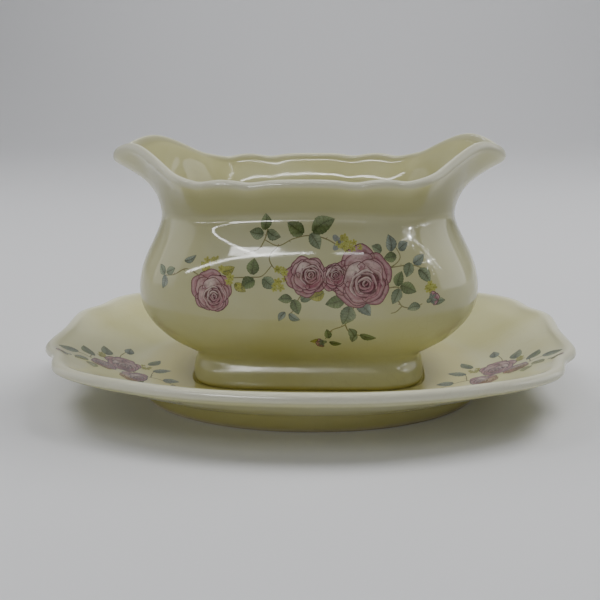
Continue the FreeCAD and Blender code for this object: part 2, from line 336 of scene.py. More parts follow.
def plate_rows():
    rim, bead, well = plate.rim, plate.bead, plate.well
    length, width = plate.foot_length, plate.foot_width
    inner_length, inner_width = length - plate.foot_ring, width - plate.foot_ring
    top = plate.foot_height
    seat_length, seat_width = boat.foot_length + SEAT_GAP, boat.foot_width + SEAT_GAP
    return [
        oval_row(plate.foot_recess, inner_length - 5.0, inner_width - 5.0, 2.1),
        oval_row(plate.foot_recess, inner_length - 2.6, inner_width - 2.6, 2.1),
        oval_row(0.5 * plate.foot_recess, inner_length - 0.8, inner_width - 0.8, 2.1),
        oval_row(0.3, inner_length - 0.1, inner_width - 0.1, 2.1, bare=0.6),
        oval_row(0.0, inner_length + 0.3, inner_width + 0.3, 2.1, bare=1.0),
        oval_row(0.0, 0.5 * (length + inner_length), 0.5 * (width + inner_width), 2.1, bare=1.0),
        oval_row(0.0, length - 0.3, width - 0.3, 2.1, bare=1.0),
        oval_row(0.3, length + 0.1, width + 0.1, 2.1, bare=0.6),
        oval_row(0.3 * top, length + 1.0, width + 1.0, 2.1),
        oval_row(0.8 * top, length + 2.0, width + 2.0, 2.1),
        plate_row(0.12, top + 0.4),
        plate_row(0.3, top + 2.6),
        plate_row(0.55, top + 6.4),
        plate_row(0.8, rim - bead - 3.4),
        plate_row(0.94, rim - bead - 1.2, 0.0, 0.0),
        # The last number of these bead rows is how thin the glaze is: whiter there, partly a painted
        # highlight.
        plate_row(1.0, rim - bead, 1.4, 0.15),
        plate_row(1.0, rim - 0.8 * bead, -0.2, 0.6),
        plate_row(1.0, rim - 0.4 * bead, -0.4, 1.0),
        plate_row(1.0, rim - 0.02 * bead, 0.6, 1.0),
        plate_row(1.0, rim + 0.15, 2.4, 0.85),
        plate_row(1.0, rim - 0.5, 4.6, 0.45),
        plate_row(0.86, rim - 2.4, 0.0, 0.15),
        plate_row(0.68, rim - 5.6),
        plate_row(0.44, well + 6.2),
        plate_row(0.2, well + 2.4),
        plate_row(0.02, well + 0.7),
        oval_row(well + 0.1, seat_length + 9.0, seat_width + 8.0, 3.2),
        oval_row(well, seat_length + 1.8, seat_width + 1.8, 4.3),
        oval_row(well, seat_length + 0.5, seat_width + 0.5, 4.5),
        oval_row(plate.seat + 0.1, seat_length + 0.2, seat_width + 0.2, 4.5),
        oval_row(plate.seat, seat_length - 0.8, seat_width - 0.8, 4.5),
    ]


# ------------------------------------------------------------------------------- sauce boat

def rim_outline():
    """Quarter of the boat's lip from the spout's tip, over its crest and along the scalloped side."""
    tip, crest, side = boat.tip, boat.crest, boat.rim_width
    crest_y, crest_z = boat.crest_width, boat.crest_height
    rim, notch = boat.rim, boat.notch
    return (
        (tip, 0.0, boat.tip_height),
        (tip - 0.7, 6.4, boat.tip_height + 1.9),
        (0.5 * (tip + crest) + 1.4, 12.4, crest_z - 2.2),
        (crest, crest_y, crest_z),
        (crest - 5.4, crest_y + 4.8, crest_z - 1.0),
        (crest - 10.8, crest_y + 10.0, crest_z - 3.8),
        (crest - 16.0, crest_y + 15.0, crest_z - 7.0),
        (crest - 21.0, crest_y + 19.8, rim + 1.9),
        (crest - 26.0, crest_y + 24.0, rim + 0.5),
        (crest - 33.0, side - 3.2, rim - notch),
        (crest - 40.0, side - 0.9, rim + 0.3),
        (crest - 47.5, side - 0.4, rim),
        (crest - 54.0, side - 0.6 * notch, rim - notch),
        (crest - 61.0, side - 0.3, rim),
        (MIDDLE, side, rim + 0.3),
    )


def end_share(angle):
    """0 along the boat's sides and 1 at its ends."""
    return eased(math.cos(angle) ** 2)


def spout_share(angle):
    """1 in the middle of a spout, fading to 0 along the sides."""
    return math.exp(-(quarter_angle(angle) / SPOUT_SPREAD) ** 2)


def lip_height(angle):
    """How deep the rolled lip is."""
    return between(boat.lip, boat.spout_lip, spout_share(angle))


def body_row(height, half_length, half_width, squareness):
    """A row round the boat's body, drooping a little towards the ends as it climbs to the neck."""
    drop = boat.neck_end_drop * height / boat.neck
    return Row(
        lambda angle: oval_radius(angle, half_length, half_width, squareness),
        lambda angle: height - drop * end_share(angle),
    )


def body_rows(inset):
    """The body's rows from above the waist up to the neck, drawn in by the wall for the inside."""
    waist = (boat.waist, boat.waist_length, boat.waist_width)
    belly = (boat.belly, boat.belly_length, boat.belly_width)
    neck = (boat.neck, boat.neck_length, boat.neck_width)
    rows = []
    for low, high, shares in ((waist, belly, BELLY_SWELL), (belly, neck, SHOULDER_DRAW_IN)):
        for climb, length_share, width_share, squareness in shares:
            height = between(low[0], high[0], climb)
            half_length = between(low[1], high[1], length_share) - inset
            half_width = between(low[2], high[2], width_share) - inset
            rows.append(body_row(height, half_length, half_width, squareness))
    return rows


def flare_row(along, inset, thin=0.0):
    """A row part of the way up the flare from the neck (along 0) to the lip (along 1)."""
    reaches = reach_knots(rim_outline())
    heights = height_knots(rim_outline())
    weights = ((1 - along) ** 3, 3 * along * (1 - along) ** 2, 3 * along ** 2 * (1 - along), along ** 3)

    def radius(angle):
        spout = spout_share(angle)
        neck = oval_radius(angle, boat.neck_length, boat.neck_width, NECK_SQUARENESS) - inset
        edge = smooth(reaches, quarter_angle(angle)) - inset
        stops = (neck, neck + 0.8 - 0.5 * spout, edge - 2.2 - 9.0 * spout, edge)
        return sum(weight * stop for weight, stop in zip(weights, stops))

    def height(angle):
        spout = spout_share(angle)
        neck = boat.neck - boat.neck_end_drop * end_share(angle)
        edge = smooth(heights, quarter_angle(angle)) - 0.6 * lip_height(angle)
        stops = (neck, neck + 5.0 + 4.0 * spout, edge - 3.6 - 2.0 * spout, edge)
        return sum(weight * stop for weight, stop in zip(weights, stops))

    return Row(radius, height, thin=thin)


def lip_row(turn, thin):
    """A row on the rounded lip: turn 0 is its outer edge, 90 its top and 180 its inner edge."""
    reaches = reach_knots(rim_outline())
    heights = height_knots(rim_outline())
    across = 0.5 * boat.wall * (1.0 - math.cos(math.radians(turn)))
    up = math.sin(math.radians(turn))

    def radius(angle):
        return smooth(reaches, quarter_angle(angle)) - across

    def height(angle):
        return smooth(heights, quarter_angle(angle)) - 0.6 * lip_height(angle) * (1.0 - up)

    return Row(radius, height, thin=thin)


def boat_rows():
    length, width, wall = boat.foot_length, boat.foot_width, boat.wall
    inner_length, inner_width = length - boat.foot_ring, width - boat.foot_ring
    ring_length, ring_width = 0.5 * (length + inner_length) - 0.7, 0.5 * (width + inner_width) - 0.7
    waist, floor, recess = boat.waist, boat.floor, boat.recess
    floor_length, floor_width = boat.waist_length - wall, boat.waist_width - wall
    rows = [
        oval_row(recess, inner_length - 4.4, inner_width - 4.4, 3.8),
        oval_row(recess, inner_length - 2.2, inner_width - 2.2, 4.0),
        oval_row(0.5 * recess, inner_length - 1.0, inner_width - 1.0, 4.2),
        oval_row(0.3, inner_length - 0.1, inner_width - 0.1, 4.4, bare=0.6),
        oval_row(0.02, inner_length + 0.3, inner_width + 0.3, 4.4, bare=1.0),
        oval_row(0.02, ring_length, ring_width, 4.5, bare=1.0),
        oval_row(0.02, length - 1.4, width - 1.4, 4.6, bare=1.0),
        oval_row(0.2, length - 0.4, width - 0.4, 4.6),
        oval_row(2.0, length + 0.2, width + 0.2, 4.6),
        oval_row(5.2, length + 0.1, width + 0.1, 4.6),
        oval_row(8.4, length - 0.4, width - 0.6, 4.5),
        oval_row(10.6, length - 1.6, width - 1.9, 4.4),
        body_row(waist, boat.waist_length - 0.3, boat.waist_width - 0.3, 4.2),
        body_row(waist + 2.0, boat.waist_length + 1.6, boat.waist_width + 1.6, 3.9),
    ]
    rows += body_rows(0.0)
    # The flare's outside rows carry a painted shade: their values below nought darken the neck.
    rows += [flare_row(along, 0.0, thin) for along, thin in OUTER_FLARE]
    # The lip's rows are whiter where the glaze is thin, partly a painted highlight on its top.
    rows += [lip_row(turn, thin) for turn, thin in LIP_TURNS]
    rows += [flare_row(along, wall) for along in INNER_FLARE]
    rows += body_rows(wall)[::-1]
    rows += [
        oval_row(waist + 0.6, floor_length + 0.6, floor_width + 0.4, 3.6),
        oval_row(floor + 0.6, floor_length - 3.0, floor_width - 3.0, 3.4),
        oval_row(floor, floor_length - 8.0, floor_width - 7.0, 3.2),
        oval_row(floor, floor_length - 14.0, floor_width - 12.0, 3.0),
    ]
    return rows


# ------------------------------------------------------------------------------- node helpers

class Nodes:
    """A material's node tree, with short ways to add and join nodes."""

    def __init__(self, name):
        self.material = bpy.data.materials.new(name)
        self.material.use_nodes = True
        self.tree = self.material.node_tree
        self.shader = self.tree.nodes["Principled BSDF"]

    def add(self, kind, **settings):
        node = self.tree.nodes.new(kind)
        for name, value in settings.items():
            setattr(node, name, value)
        return node

    def put(self, socket, value):
        """Links a socket to an output, or sets it to a plain value."""
        if isinstance(value, bpy.types.NodeSocket):
            self.tree.links.new(value, socket)
        else:
            socket.default_value = value

    def math(self, operation, a, b=0.5, clamp=False):
        node = self.add("ShaderNodeMath", operation=operation, use_clamp=clamp)
        self.put(node.inputs[0], a)
        self.put(node.inputs[1], b)
        return node.outputs[0]

    def mix(self, factor, a, b, blend="MIX"):
        node = self.add("ShaderNodeMix", data_type="RGBA", blend_type=blend)
        self.put(node.inputs[0], factor)
        self.put(node.inputs[6], a)
        self.put(node.inputs[7], b)
        return node.outputs[2]

    def scale(self, value, from_low, from_high, to_low=0.0, to_high=1.0):
        node = self.add("ShaderNodeMapRange", interpolation_type="SMOOTHSTEP")
        for socket, number in zip(node.inputs, (value, from_low, from_high, to_low, to_high)):
            self.put(socket, number)
        return node.outputs[0]

    def attribute(self, name):
        return self.add("ShaderNodeAttribute", attribute_name=name)

    def noise(self, place, scale, detail=2.0, roughness=0.5):
        node = self.add("ShaderNodeTexNoise")
        self.put(node.inputs["Vector"], place)
        node.inputs["Scale"].default_value = scale
        node.inputs["Detail"].default_value = detail
        node.inputs["Roughness"].default_value = roughness
        return node.outputs["Fac"]

    def cells(self, place, feature, scale):
        """Distances in a pattern of irregular cells."""
        node = self.add("ShaderNodeTexVoronoi", feature=feature)
        self.put(node.inputs["Vector"], place)
        node.inputs["Scale"].default_value = scale
        return node.outputs["Distance"]


def rgba(red, green, blue):
    return (red, green, blue, 1.0)


CREAM = rgba(0.60, 0.58, 0.30)
PALE_CREAM = rgba(0.64, 0.63, 0.38)
POOLED = rgba(0.54, 0.465, 0.085)
# Painted shade: darkens the outside of the boat's flare above the neck.
PAINTED_NECK_SHADE = rgba(0.38, 0.365, 0.185)
# White of thin glaze, partly a painted highlight on the lip's top and the plate's bead.
THIN_GLAZE_AND_HIGHLIGHT_WHITE = rgba(0.81, 0.80, 0.65)
BISCUIT = rgba(0.70, 0.62, 0.50)
DARK_BISCUIT = rgba(0.58, 0.50, 0.38)
CRACK_BROWN = rgba(0.36, 0.27, 0.12)
PINHOLE_BROWN = rgba(0.20, 0.14, 0.07)
GLAZE_ROUGHNESS = 0.06
BISCUIT_ROUGHNESS = 0.75
GLAZE_IOR = 1.52
# The glaze's slow swell, its ripple and its orange peel: how fine, and how deep in metres.
GLAZE_WAVES = ((38.0, 0.00022), (125.0, 0.00002), (420.0, 0.0000035))
CRACKS_FINENESS = 210.0
CRACKS_STRENGTH = 0.10
PINHOLES_FINENESS = 75.0


def glaze_wave(nodes, place):
    """The slow swell of a dipped glaze and its fine orange peel, as a bump normal."""
    height = 0.0
    for scale, depth in GLAZE_WAVES:
        height = nodes.math("ADD", nodes.math("MULTIPLY", nodes.noise(place, scale, 1.0), depth), height)
    bump = nodes.add("ShaderNodeBump")
    bump.inputs["Strength"].default_value = 1.0
    bump.inputs["Distance"].default_value = 1.0
    nodes.put(bump.inputs["Height"], height)
    return bump.outputs[0]


def glaze_sheen(nodes, place):
    """The glaze's roughness, a little uneven."""
    cloud = nodes.noise(place, 90.0, 2.0)
    return nodes.scale(cloud, 0.3, 0.75, GLAZE_ROUGHNESS - 0.02, GLAZE_ROUGHNESS + 0.03)


def crazed(nodes, place, colour):
    """A colour with fine cracks, in some places only."""
    crack = nodes.scale(nodes.cells(place, "DISTANCE_TO_EDGE", CRACKS_FINENESS), 0.0, 0.035, 1.0, 0.0)
    here = nodes.scale(nodes.noise(place, 18.0), 0.5, 0.65)
    share = nodes.math("MULTIPLY", nodes.math("MULTIPLY", crack, here), CRACKS_STRENGTH)
    return nodes.mix(share, colour, CRACK_BROWN)


def pinholed(nodes, place, colour):
    """A colour with a few dark pinholes."""
    pit = nodes.scale(nodes.cells(place, "F1", PINHOLES_FINENESS), 0.012, 0.034, 0.55, 0.0)
    here = nodes.scale(nodes.noise(place, 55.0, 0.0), 0.62, 0.66)
    return nodes.mix(nodes.math("MULTIPLY", pit, here), colour, PINHOLE_BROWN)


def glaze_material(name, pool_low, pool_high, pool_share, dull_low, dull_high):
    """Ivory glaze: deeper yellow where it pools below a height, darker on the flare above the boat's
    neck as a painted shade, whiter on thin edges and partly a painted highlight there, duller round the
    foot, with faint clouding, crazing and pinholes, and bare biscuit clay on the foot's edge."""
    nodes = Nodes(name)
    place = nodes.add("ShaderNodeTexCoord").outputs["Object"]
    split = nodes.add("ShaderNodeSeparateXYZ")
    nodes.put(split.inputs[0], place)
    height = split.outputs[2]
    cloud = nodes.scale(nodes.noise(place, 26.0, 3.0), 0.35, 0.7)
    colour = nodes.mix(cloud, CREAM, PALE_CREAM)
    pool = nodes.scale(height, pool_low, pool_high, 1.0, 0.0)
    colour = nodes.mix(nodes.math("MULTIPLY", pool, pool_share), colour, POOLED)
    thin = nodes.attribute("thin_glaze_painted_highlight_and_shade").outputs["Fac"]
    # Whiter where the glaze is thin, partly a painted highlight on the lip's top and the plate's bead.
    colour = nodes.mix(nodes.math("MULTIPLY", thin, 0.8, clamp=True), colour, THIN_GLAZE_AND_HIGHLIGHT_WHITE)
    # Below nought: a painted shade on the flare above the boat's neck.
    colour = nodes.mix(nodes.math("MULTIPLY", thin, -0.85, clamp=True), colour, PAINTED_NECK_SHADE)
    colour = pinholed(nodes, place, crazed(nodes, place, colour))
    bare = nodes.attribute("bare_clay").outputs["Fac"]
    biscuit = nodes.mix(nodes.noise(place, 900.0, 3.0), BISCUIT, DARK_BISCUIT)
    colour = nodes.mix(bare, colour, biscuit)
    nodes.put(nodes.shader.inputs["Base Color"], colour)
    dulling = nodes.scale(height, dull_low, dull_high, 0.16, 0.0)
    sheen = nodes.math("ADD", glaze_sheen(nodes, place), dulling)
    roughness = nodes.math("MAXIMUM", sheen, nodes.math("MULTIPLY", bare, BISCUIT_ROUGHNESS))
    nodes.put(nodes.shader.inputs["Roughness"], roughness)
    nodes.shader.inputs["IOR"].default_value = GLAZE_IOR
    nodes.put(nodes.shader.inputs["Normal"], glaze_wave(nodes, place))
    return nodes.material


# ------------------------------------------------------------------------------- building

def build_shell(name, rows, lift, material, body, node):
    """A pottery piece: the net under two rounds of subdivision."""
    piece = add_object(name, net_mesh(name, rows, lift), material, body)
    rounding = piece.modifiers.new("rounding", "SUBSURF")
    rounding.levels = 2
    rounding.render_levels = 2
    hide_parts(node)
    return piece


plate_glaze = glaze_material("plate_ivory_glaze", 0.0090, 0.0102, 0.5, 0.0010, 0.0030)
boat_glaze = glaze_material("boat_ivory_glaze", 0.0088, 0.0112, 0.75, 0.0190, 0.0260)
plate_shell = build_shell(
    "underplate_shell", plate_rows(), 0.0, plate_glaze, "underplate", "underplate"
)
boat_shell = build_shell(
    "sauce_boat_shell", boat_rows(), BOAT_LOW.z, boat_glaze, "sauce_boat", "sauce_boat"
)


# ------------------------------------------------------------------------------- laying prints

# How far off the glaze the first layer of ink lies, and each layer above it, in millimetres.
PRINT_GAP = 0.028
PRINT_STEP = 0.006
NO_GRAIN = (0.0, 0.0, 0.0)


class Skin:
    """A piece's finished surface, for laying prints on."""

    def __init__(self, piece):
        shaped = piece.evaluated_get(bpy.context.evaluated_depsgraph_get())
        mesh = shaped.to_mesh()
        self.points = [vertex.co.copy() for vertex in mesh.vertices]
        self.normals = [vertex.normal.copy() for vertex in mesh.vertices]
        self.faces = [tuple(face.vertices) for face in mesh.polygons]
        shaped.to_mesh_clear()
        self.tree = BVHTree.FromPolygons(self.points, self.faces)

    def meet(self, start, direction):
        """Where a line from start first meets the surface, and the smooth normal there."""
        place, _, index, _ = self.tree.ray_cast(start * MM, direction)
        corners = self.faces[index]
        weights = poly_3d_calc([self.points[corner] for corner in corners], place)
        normal = Vector()
        for corner, weight in zip(corners, weights):
            normal += weight * self.normals[corner]
        return place, normal.normalized()


class BoatSide:
    """Wraps a drawing round one side of the belly: x runs along the belly's widest line from the
    middle of the side, and y is the height above the foot."""

    squareness = 2.75
    hand = 1.0
    ink_tone = 1.0
    knot_angle = 0.5
    knot_count = 170
    standoff = 12.0

    def __init__(self, skin, spin):
        self.skin = skin
        self.spin = spin
        self.knots = [(0.0, 0.0)]
        previous = self.outline(0.0)
        for k in range(1, self.knot_count + 1):
            angle = math.radians(self.knot_angle * k)
            point = self.outline(angle)
            self.knots.append((self.knots[-1][0] + (point - previous).length, angle))
            previous = point

    def outline(self, angle):
        reach = oval_radius(angle - 0.5 * math.pi, boat.belly_length, boat.belly_width, self.squareness)
        return Vector((reach * math.sin(angle), -reach * math.cos(angle), 0.0))

    def place(self, x, y):
        k = 1
        while k < len(self.knots) - 1 and self.knots[k][0] < abs(x):
            k += 1
        (near, near_angle), (far, far_angle) = self.knots[k - 1], self.knots[k]
        angle = between(near_angle, far_angle, (abs(x) - near) / (far - near))
        point = self.outline(math.copysign(angle, x))
        power = self.squareness - 1.0
        facing = Vector((
            math.copysign(abs(point.x / boat.belly_length) ** power, point.x) / boat.belly_length,
            -abs(point.y / boat.belly_width) ** power / boat.belly_width,
            0.0,
        )).normalized()
        point += self.standoff * facing
        start = Vector((self.spin * point.x, self.spin * point.y, y + BOAT_LOW.z))
        return self.skin.meet(start, Vector((-self.spin * facing.x, -self.spin * facing.y, 0.0)))


class PlateTop:
    """Lays a drawing on the plate from straight above, mirrored to the other end where hand is -1."""

    ink_tone = 0.62
    standoff = 60.0

    def __init__(self, skin, hand):
        self.skin = skin
        self.hand = hand

    def place(self, x, y):
        return self.skin.meet(Vector((self.hand * x, y, self.standoff)), Vector((0.0, 0.0, -1.0)))


class Print:
    """A print's thin mesh: patches of ink in layers, each laid on the glaze point by point."""

    def __init__(self, surface):
        self.surface = surface
        self.places = []
        self.normals = []
        self.faces = []
        self.inks = []
        self.grains = []

    def patch(self, rows, level):
        """A grid of (point, ink, grain), with the grain (across, along, strength) of its hatching."""
        start = len(self.places)
        for row in rows:
            for point, ink, grain in row:
                place, normal = self.surface.place(point.x, point.y)
                self.places.append(place + normal * (PRINT_GAP + PRINT_STEP * level) * MM)
                self.normals.append(normal)
                self.inks.append(ink)
                self.grains.append(grain)
        width = len(rows[0])
        for r in range(len(rows) - 1):
            for c in range(width - 1):
                corners = ((r, c), (r, c + 1), (r + 1, c + 1), (r + 1, c))
                flat = [rows[i][j][0] for i, j in corners]
                area = (flat[2] - flat[0]).cross(flat[3] - flat[1])
                face = [start + i * width + j for i, j in corners]
                self.faces.append(face if area * self.surface.hand > 0.0 else face[::-1])

    def stroke(self, points, widths, ink, level):
        """A line of ink with a width at each of its points."""
        rows = []
        for k, point in enumerate(points):
            ahead = points[min(k + 1, len(points) - 1)] - points[max(k - 1, 0)]
            side = Vector((-ahead.y, ahead.x)).normalized() * 0.5 * widths[k]
            rows.append([(point + side, ink, NO_GRAIN), (point - side, ink, NO_GRAIN)])
        self.patch(rows, level)

    def finish(self, name, body, material):
        mesh = bpy.data.meshes.new(name)
        mesh.from_pydata(self.places, [], self.faces)
        inks = mesh.attributes.new("ink", "FLOAT_COLOR", "POINT")
        tone = self.surface.ink_tone
        inks.data.foreach_set("color", [tone * channel for ink in self.inks for channel in (*ink, 1.0)])
        grains = mesh.attributes.new("grain", "FLOAT_VECTOR", "POINT")
        grains.data.foreach_set("vector", [part for grain in self.grains for part in grain])
        mesh.shade_smooth()
        mesh.normals_split_custom_set_from_vertices(self.normals)
        return add_object(name, mesh, material, body)


class Pen:
    """A place, heading and size on a print, to draw a motif about its own middle."""

    def __init__(self, sheet, x, y, heading=0.0, size=1.0):
        self.sheet = sheet
        self.middle = Vector((x, y))
        self.heading = math.radians(heading)
        self.size = size

    def at(self, x, y):
        c, s = math.cos(self.heading), math.sin(self.heading)
        return self.middle + self.size * Vector((c * x - s * y, s * x + c * y))


def blend(first, second, share):
    """A colour part of the way from the first to the second."""
    share = min(max(share, 0.0), 1.0)
    return tuple(between(a, b, share) for a, b in zip(first, second))


def through(points, count):
    """Evenly counted places on the smooth curve through points."""
    padded = [2 * points[0] - points[1]] + points + [2 * points[-1] - points[-2]]
    curve = []
    for k in range(count + 1):
        place = (len(points) - 1) * k / count
        i = min(int(place), len(points) - 2)
        t = place - i
        a, b, c, d = padded[i:i + 4]
        curve.append(0.5 * (2 * b + t * (c - a) + t * t * (2 * a - 5 * b + 4 * c - d)
                            + t ** 3 * (3 * b - a - 3 * c + d)))
    return curve


# ------------------------------------------------------------------------------- motifs

WINE = (0.085, 0.008, 0.020)
ROSE_DEEP = (0.155, 0.016, 0.040)
ROSE_MID = (0.31, 0.065, 0.11)
ROSE_PALE = (0.57, 0.245, 0.285)
ROSE_LIGHT = (0.84, 0.69, 0.62)
LEAF_TONES = {
    "green": ((0.065, 0.10, 0.025), (0.26, 0.34, 0.13)),
    "dusky": ((0.085, 0.125, 0.06), (0.36, 0.44, 0.25)),
    "blue": ((0.11, 0.15, 0.12), (0.39, 0.46, 0.37)),
    "young": ((0.24, 0.25, 0.025), (0.58, 0.56, 0.11)),
}
STEM_GREEN = (0.27, 0.27, 0.09)
STEM_BROWN = (0.24, 0.14, 0.07)
VEIN = (0.07, 0.085, 0.03)
BLOSSOM_YELLOW = (0.57, 0.59, 0.13)
BLOSSOM_SHADE = (0.33, 0.33, 0.03)
LILAC = (0.30, 0.33, 0.28)
LILAC_SHADE = (0.17, 0.19, 0.21)


# The direction that drawn light comes from, and the turn between a flower's ruffles, in degrees.
LIT_FROM = 125.0
GOLDEN_TURN = 137.5


def petal(pen, turn, inner, outer, spread, level, light, draw, shift=(0.0, 0.0)):
    """A petal fanned out about the rose's middle between two radii: deep in its throat, light near
    its curled edge, with a wine line round it."""
    across, along = 14, 9
    wave, skew = draw.uniform(0.0, 6.3), draw.uniform(-0.25, 0.25)
    rows = []
    for i in range(across + 1):
        t = 2.0 * i / across - 1.0
        ripple = 0.035 * math.sin(4.0 * t + wave) + 0.018 * math.sin(9.0 * t - wave)
        edge = (1.0 - 0.24 * abs(t) ** 2.8) * (1.0 + ripple)
        row = []
        for j in range(along + 1):
            q = j / along
            reach = inner + (outer * edge - inner) * q
            angle = math.radians(turn + spread * t * (0.7 + 0.3 * q))
            point = pen.at(shift[0] + reach * math.cos(angle), shift[1] + reach * math.sin(angle))
            glow = math.exp(-((t - skew) / 0.62) ** 2) * math.sin(math.pi * min(1.0, q * 0.86)) ** 1.3
            ink = blend(ROSE_DEEP, ROSE_MID, 1.7 * q - 0.1)
            lit = (0.25 + 0.75 * light) * glow + 0.2 * q * light
            ink = blend(ink, blend(ROSE_PALE, ROSE_LIGHT, light), lit)
            if j == along - 1:
                ink = blend(ink, ROSE_LIGHT, 0.35)
            row.append((point, ink, (t * spread * 0.12 * outer * pen.size, 4.0 * q, 0.9 - 0.7 * q)))
        rows.append(row)
    pen.sheet.patch(rows, level)
    outline = [rows[0][j][0] for j in range(2, along)]
    outline += [row[-1][0] for row in rows]
    outline += [rows[-1][j][0] for j in range(along - 1, 1, -1)]
    last = len(outline) - 1
    swell = [0.10 + 0.16 * math.sin(math.pi * k / last) for k in range(len(outline))]
    pen.sheet.stroke(outline, swell, blend(WINE, ROSE_DEEP, 0.25), level + 1)


def crescent(pen, x, y, reach, start, sweep, thickness, level, light):
    """A ruffle in a rose's heart: a curled edge, light outside and deep inside."""
    steps = 12
    rows = []
    inner_line = []
    for i in range(steps + 1):
        t = i / steps
        angle = math.radians(start + sweep * t)
        thick = thickness * math.sin(math.pi * (0.06 + 0.88 * t)) ** 0.7
        ripple = 1.0 + 0.05 * math.sin(11.0 * t + start)
        row = []
        for j in range(4):
            q = j / 3.0
            r = reach * ripple - thick * (1.0 - q)
            ink = blend(ROSE_DEEP, blend(ROSE_PALE, ROSE_LIGHT, light), q ** 0.8)
            point = pen.at(x + r * math.cos(angle), y + r * math.sin(angle))
            row.append((point, ink, (9.0 * t, q, 0.5 - 0.4 * q)))
        rows.append(row)
        inner_line.append(row[0][0])
    pen.sheet.patch(rows, level)
    lines = [0.07 + 0.17 * math.sin(math.pi * k / steps) for k in range(steps + 1)]
    pen.sheet.stroke(inner_line, lines, WINE, level + 1)
    pen.sheet.stroke([row[-1][0] for row in rows], [0.6 * line for line in lines], ROSE_DEEP, level + 1)


def disc(pen, x, y, radius, inner_ink, outer_ink, level, squash=1.0):
    """A filled round of ink."""
    rows = []
    for j in range(5):
        q = max(0.02, j / 4.0)
        row = []
        for i in range(17):
            angle = 2.0 * math.pi * i / 16
            point = pen.at(x + radius * q * math.cos(angle), y + squash * radius * q * math.sin(angle))
            row.append((point, blend(inner_ink, outer_ink, q), (3.0 * q, 5.0 * angle, 0.5)))
        rows.append(row)
    pen.sheet.patch(rows, level)


def rose(sheet, x, y, radius, facing, level, seed):
    """A full cabbage rose looking a little to one side, drawn from the outer petals in."""
    draw = random.Random(seed)
    pen = Pen(sheet, x, y, 0.0, radius)
    lean = Vector((math.cos(math.radians(facing)), math.sin(math.radians(facing))))
    for petals, inner, outer, spread, off, tier in (
        (5, 0.2, 1.0, 46.0, 0.0, 0),
        (5, 0.15, 0.86, 44.0, 0.08, 2),
        (4, 0.1, 0.72, 56.0, 0.16, 4),
    ):
        first = draw.uniform(0.0, 360.0)
        for k in range(petals):
            turn = first + 360.0 * k / petals + draw.uniform(-7.0, 7.0)
            light = 0.5 + 0.5 * math.cos(math.radians(turn - LIT_FROM))
            shift = lean * off
            tuck = 0.14 * off * math.cos(math.radians(turn - facing))
            reach = outer * (1.0 + draw.uniform(-0.06, 0.06) - tuck)
            light *= 0.38 + 0.15 * tier
            petal(pen, turn, inner, reach, spread, level + tier, light, draw, shift)
    heart = lean * 0.24
    disc(pen, heart.x, heart.y, 0.47, WINE, ROSE_DEEP, level + 6)
    ruffles = 13
    for k in range(ruffles):
        share = k / (ruffles - 1.0)
        reach = 0.52 * (1.0 - share) ** 0.9 + 0.06
        start = draw.uniform(-12.0, 12.0) + GOLDEN_TURN * k
        sweep = between(95.0, 200.0, share)
        middle = start + 0.5 * sweep
        light = 0.5 + 0.5 * math.cos(math.radians(middle - LIT_FROM))
        nudge = heart + 0.02 * Vector((draw.uniform(-1, 1), draw.uniform(-1, 1)))
        thickness = 0.14 - 0.05 * share
        crescent(pen, nudge.x, nudge.y, reach, start, sweep, thickness, level + 7 + k * 0.5, light)


def leaf(sheet, x, y, heading, length, width, tone, level, seed):
    """A toothed rose leaf about its middle, darker in one half, with veins and a fine outline."""
    draw = random.Random(seed)
    deep, pale = LEAF_TONES[tone]
    pen = Pen(sheet, x, y, heading)
    bend = draw.uniform(-0.12, 0.12) * length
    teeth = draw.choice((6, 7))
    along, across = 18, 8

    def spine(t):
        return Vector(((t - 0.5) * length, bend * math.sin(math.pi * t) - 0.5 * bend))

    def half_width(t):
        tooth = 1.0 + 0.10 * (1.0 - 2.0 * abs((teeth * t) % 1.0 - 0.35)) * math.sin(math.pi * t)
        return 0.5 * width * math.sin(math.pi * t ** 0.82) ** 0.85 * tooth

    rows = []
    for i in range(along + 1):
        t = 0.012 + 0.976 * i / along
        row = []
        for j in range(across + 1):
            a = 2.0 * j / across - 1.0
            lit = 0.5 + 0.5 * a
            fold = 0.34 * math.exp(-(a / 0.24) ** 2)
            throat = 0.3 * math.exp(-(t / 0.2) ** 2)
            shade = 0.16 + 0.66 * lit + 0.22 * t - fold - throat
            ink = blend(deep, pale, shade + 0.12 * math.sin(teeth * 2.0 * math.pi * (t - 0.12 * abs(a))))
            point = spine(t) + Vector((-0.06 * abs(a) * width, a * half_width(t)))
            row.append((pen.at(point.x, point.y), ink, (t * length - 0.35 * abs(a) * width, a, 0.6)))
        rows.append(row)
    sheet.patch(rows, level)
    vein = blend(VEIN, deep, 0.35)
    line = [pen.at(*spine(0.985 * k / 12)) for k in range(13)]
    sheet.stroke(line, [0.34 - 0.018 * k for k in range(13)], vein, level + 1)
    for side in (-1.0, 1.0):
        edge = [row[0 if side < 0 else -1][0] for row in rows]
        sheet.stroke(edge, [0.17 if side < 0 else 0.11] * len(edge), blend(vein, pale, 0.15), level + 1)
        for k in range(4):
            t = 0.16 + 0.17 * k
            path = []
            for m in range(5):
                q = m / 4.0
                root = spine(t + 0.17 * q)
                path.append(pen.at(root.x, root.y + side * 0.9 * q * half_width(t + 0.17 * q)))
            sheet.stroke(path, [0.17 - 0.025 * m for m in range(5)], blend(vein, pale, 0.25), level + 1)


